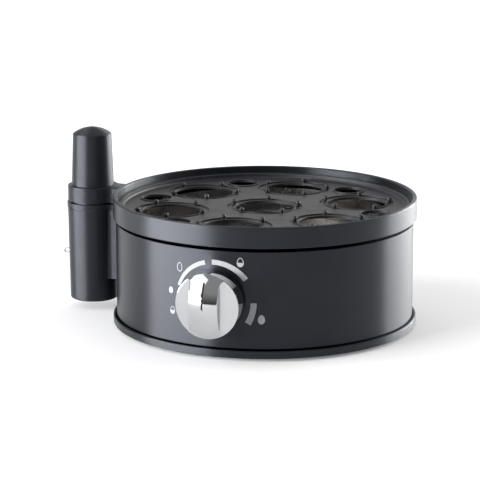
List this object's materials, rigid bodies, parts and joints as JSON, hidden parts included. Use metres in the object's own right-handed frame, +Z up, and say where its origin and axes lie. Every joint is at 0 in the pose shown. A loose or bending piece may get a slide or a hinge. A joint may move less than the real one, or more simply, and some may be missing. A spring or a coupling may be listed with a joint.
{
  "type": "electric egg cooker",
  "caption": "Round electric egg cooker with a turning dial knob, a lift-out egg tray over a heated water pan, and an egg piercer standing in a holster at the side.",
  "frame": {"origin": "on the drum's axis, at table level under the foot ring", "axes": "+Z up; -Y towards the dial; -X towards the piercer holster; +Y out of the mains inlet"},
  "size_m": [0.2126, 0.1929, 0.1073],
  "materials": {
    "shell_paint": "satin",
    "black_plastic": "satin",
    "holster_plastic": "satin",
    "grip_plastic": "satin",
    "carrier_plastic": "matte",
    "tray_coating": "gloss",
    "pan_steel": "brushed",
    "rubber": "matte",
    "knob_chrome": "mirror",
    "core_plastic": "matte",
    "needle_steel": "polished",
    "zinc_steel": "zinc plated",
    "spreader_aluminium": "cast",
    "element_steel": "satin",
    "shaft_brass": "turned",
    "brown_phenolic": "matte",
    "white_ceramic": "matte",
    "fuse_metal": "satin",
    "board_green": "satin",
    "component_black": "satin",
    "lead_brown": "satin",
    "lead_blue": "satin"
  },
  "bodies": {
    "housing": {"base_pan": "black_plastic", "foot_ring": "rubber", "base_screws": "zinc_steel", "outer_shell": "shell_paint", "top_collar": "black_plastic", "pan_seal": "rubber", "water_pan": "pan_steel", "pan_nuts": "zinc_steel", "heat_spreader": "spreader_aluminium", "heating_element": "element_steel", "element_tabs": "zinc_steel", "thermostat": "brown_phenolic", "thermostat_strap": "zinc_steel", "strap_screws": "zinc_steel", "thermal_fuse": "fuse_metal", "fuse_holder": "white_ceramic", "regulator_bracket": "zinc_steel", "bracket_screws": "zinc_steel", "regulator_case": "brown_phenolic", "regulator_cover": "brown_phenolic", "regulator_nut": "zinc_steel", "control_board": "board_green", "board_screws": "zinc_steel", "relay": "component_black", "buzzer": "component_black", "capacitor": "fuse_metal", "board_header": "white_ceramic", "cord_gland": "black_plastic", "gland_nut": "black_plastic", "terminal_block": "white_ceramic", "piercer_holster": "holster_plastic", "holster_eye": "needle_steel", "holder_ring": "holster_plastic", "ring_screw": "zinc_steel", "web_screws": "zinc_steel", "live_lead": "lead_brown", "neutral_lead": "lead_blue"},
    "knob": {"knob": "knob_chrome", "knob_core": "core_plastic", "regulator_shaft": "shaft_brass"},
    "tray": {"egg_tray": "tray_coating"},
    "piercer": {"piercer_grip": "grip_plastic", "needle_carrier": "carrier_plastic", "piercer_needle": "needle_steel"}
  },
  "joints": [
    {"name": "knob_turn", "type": "hinge", "parent": "housing", "child": "knob", "pos_m": [0, -0.0973, 0.0322], "axis": [0, 1, 0], "range_deg": [-110, 122]},
    {"name": "tray_lift", "type": "slide", "parent": "housing", "child": "tray", "axis": [0, 0, 1], "range_m": [0, 0.08]},
    {"name": "piercer_lift", "type": "slide", "parent": "housing", "child": "piercer", "axis": [0, 0, 1], "range_m": [0, 0.065]}
  ]
}
